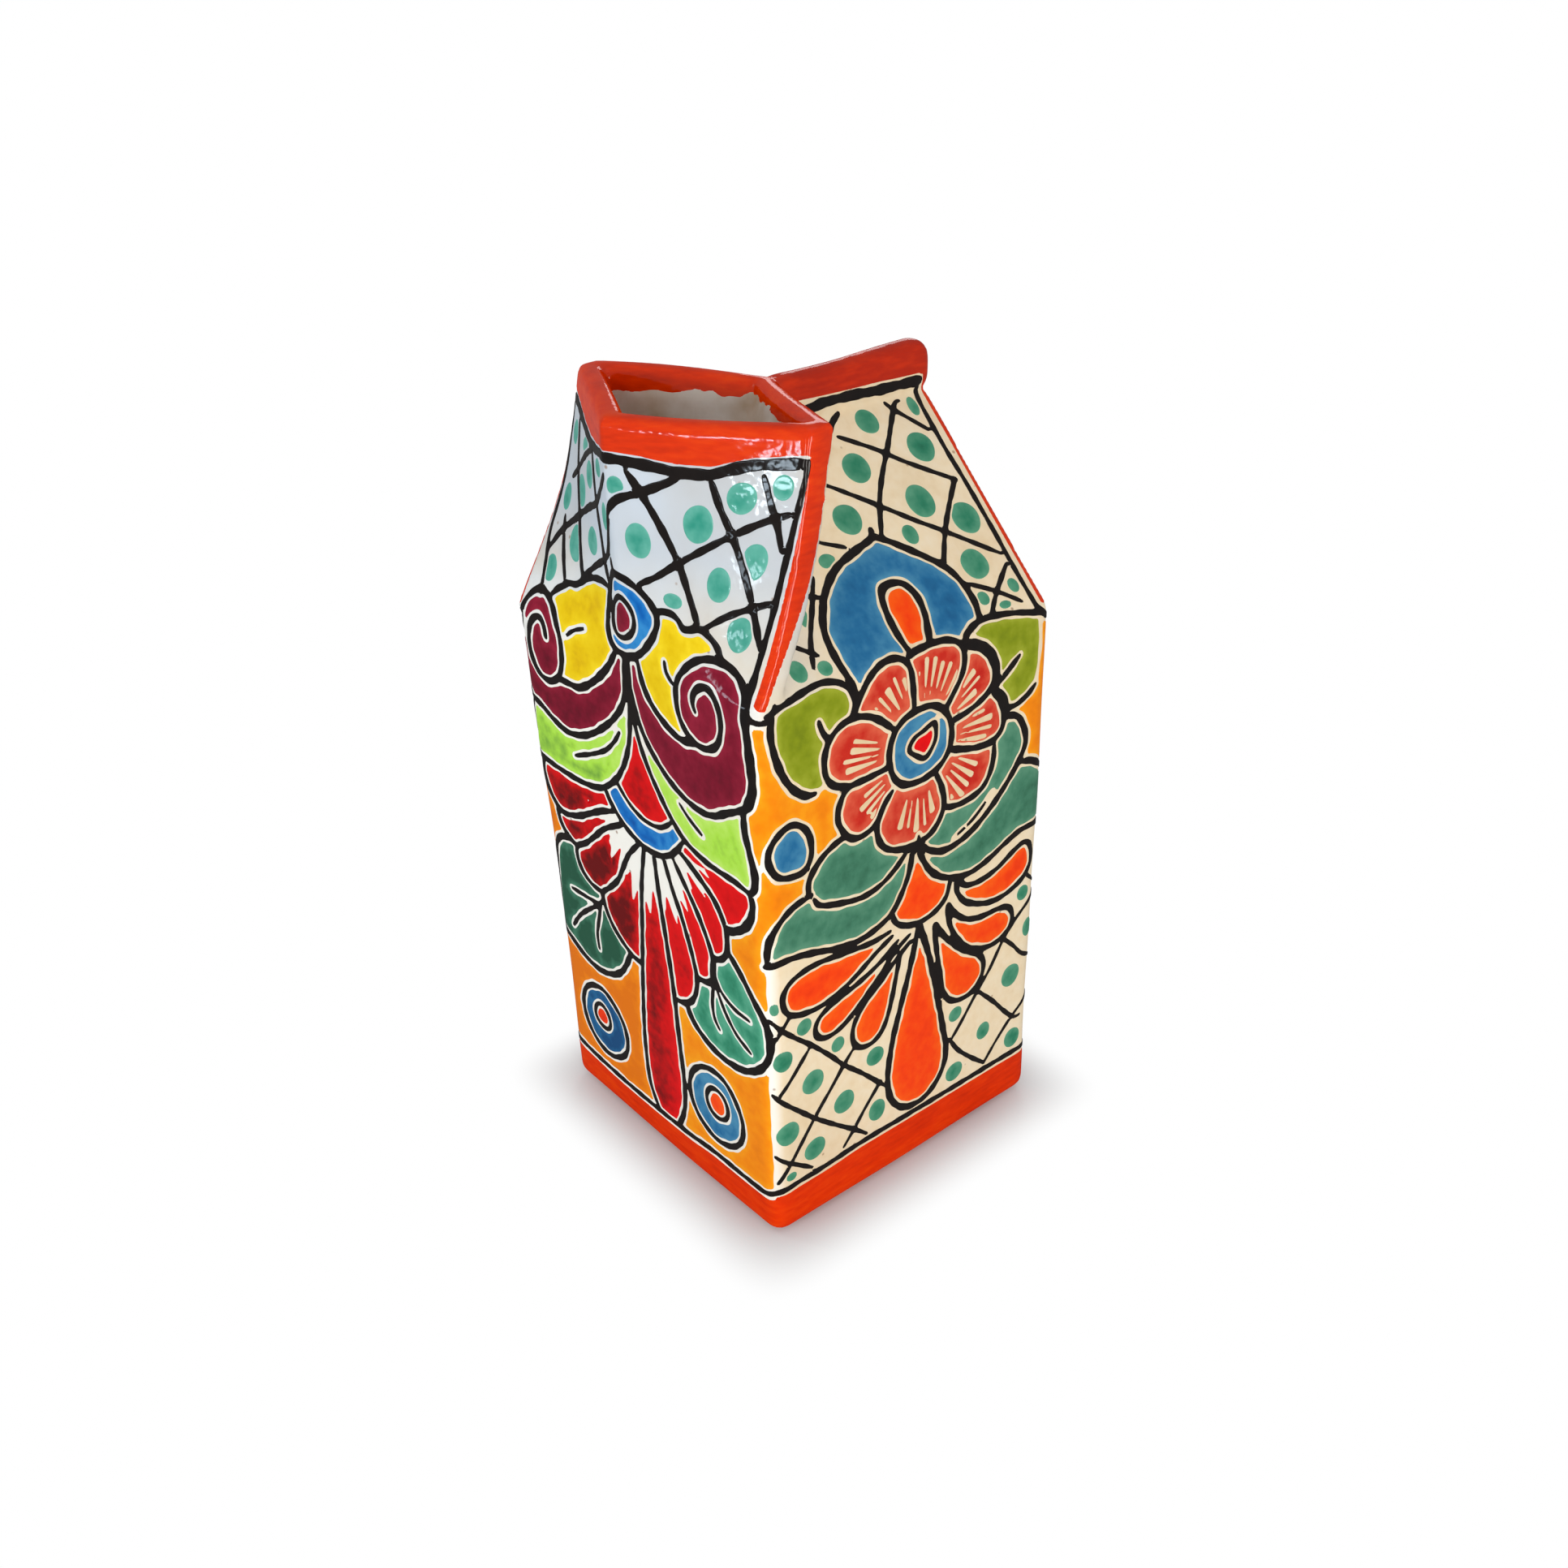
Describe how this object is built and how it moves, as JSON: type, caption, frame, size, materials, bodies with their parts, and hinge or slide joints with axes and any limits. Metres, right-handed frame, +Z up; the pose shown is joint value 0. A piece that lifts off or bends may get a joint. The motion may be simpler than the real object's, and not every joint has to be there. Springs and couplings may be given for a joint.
{
  "type": "pottery vase",
  "caption": "Square slab-built pottery vase in the form of an opened gable-top carton, painted with flowers, leaves and lattice; holds flowers or utensils.",
  "frame": {"origin": "middle of the square underside, on the surface the vase stands on", "axes": "+Z up, -Y the side the spout opens towards, +X the side with the large flower"},
  "size_m": [0.105, 0.1081, 0.2299],
  "materials": {
    "cream_glaze": "glossy tin-white glaze, a little grey and brush-marked",
    "ochre_glaze": "glossy ochre glaze, brushed",
    "orange_glaze": "glossy red-orange glaze, thick along edges",
    "inner_glaze": "stained cream liner glaze",
    "bare_clay": "unglazed fired earthenware",
    "black_outline": "glossy manganese-black brush line",
    "cobalt_glaze": "glossy blue glaze",
    "dot_green_glaze": "glossy blue-green glaze",
    "maroon_glaze": "glossy maroon glaze",
    "yellow_glaze": "glossy yellow glaze",
    "leaf_green_glaze": "glossy light green glaze",
    "olive_glaze": "glossy olive green glaze",
    "dark_green_glaze": "glossy dark green glaze",
    "red_glaze": "glossy red glaze"
  },
  "bodies": {
    "root": {"base_slab": "orange_glaze", "spout_side_wall": "ochre_glaze", "flower_side_wall": "cream_glaze", "gable_end_wall": "ochre_glaze", "back_side_wall": "cream_glaze", "spout_front_right": "cream_glaze", "spout_front_left": "cream_glaze", "spout_flank_right": "cream_glaze", "spout_flank_left": "cream_glaze", "roof_slab_right": "cream_glaze", "roof_slab_left": "cream_glaze", "end_gusset": "cream_glaze", "ridge_strip": "orange_glaze"}
  },
  "joints": []
}
